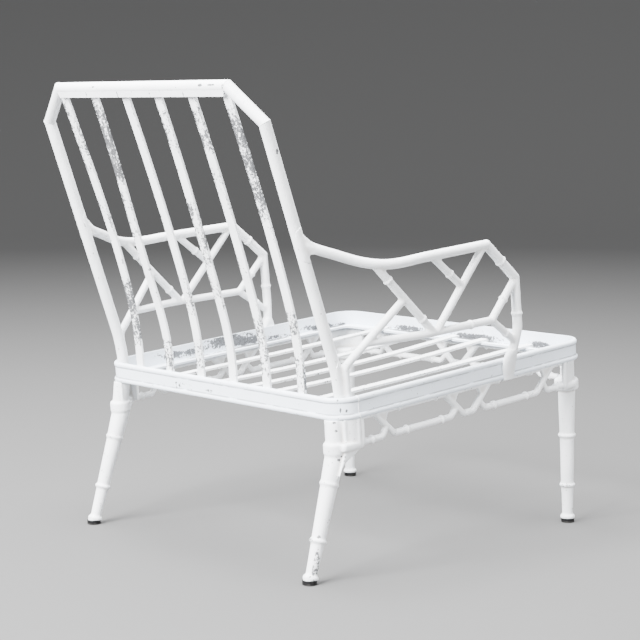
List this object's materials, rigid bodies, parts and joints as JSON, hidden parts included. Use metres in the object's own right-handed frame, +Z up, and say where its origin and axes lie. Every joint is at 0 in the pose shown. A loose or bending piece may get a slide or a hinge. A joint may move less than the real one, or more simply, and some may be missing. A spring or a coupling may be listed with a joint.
{
  "type": "metal patio lounge chair",
  "caption": "Low open metal lounge chair with bamboo-style rod arms, raked slatted back, slatted seat in a shallow rim, fretwork aprons and splayed rear legs.",
  "frame": {"origin": "on the floor, under the middle of the chair's overall box", "axes": "+Z up, +Y towards the back of the chair, +X towards the sitter's left"},
  "size_m": [0.727, 0.82, 0.8408],
  "materials": {
    "paint": "chalky white paint, rubbed through to grey metal in places",
    "glide": "matt black"
  },
  "bodies": {
    "root": {"arm_brace_left": "paint", "arm_brace_right": "paint", "arm_corner_left": "paint", "arm_corner_right": "paint", "arm_diagonal_left": "paint", "arm_diagonal_right": "paint", "arm_fork_left": "paint", "arm_fork_right": "paint", "arm_front_strut_left": "paint", "arm_front_strut_right": "paint", "arm_lower_rail_left": "paint", "arm_lower_rail_right": "paint", "arm_post_left": "paint", "arm_post_right": "paint", "arm_rail_left": "paint", "arm_rail_right": "paint", "arm_short_strut_left": "paint", "arm_short_strut_right": "paint", "arm_spur_left": "paint", "arm_spur_right": "paint", "back_bar_1": "paint", "back_bar_2": "paint", "back_bar_3": "paint", "back_bar_4": "paint", "back_bar_5": "paint", "back_bar_6": "paint", "back_corner_left": "paint", "back_corner_right": "paint", "back_stile_left": "paint", "back_stile_right": "paint", "back_top_rail": "paint", "bracket_front_left": "paint", "bracket_front_right": "paint", "bracket_rear_left": "paint", "bracket_rear_right": "paint", "fret_front": "paint", "fret_left": "paint", "fret_right": "paint", "glide_front_left": "glide", "glide_front_right": "glide", "glide_rear_left": "glide", "glide_rear_right": "glide", "leg_front_left": "paint", "leg_front_right": "paint", "leg_rear_left": "paint", "leg_rear_right": "paint", "seat_bar_1": "paint", "seat_bar_2": "paint", "seat_bar_3": "paint", "seat_bar_4": "paint", "seat_bar_5": "paint", "seat_rim_front": "paint", "seat_rim_rear": "paint"}
  },
  "joints": []
}
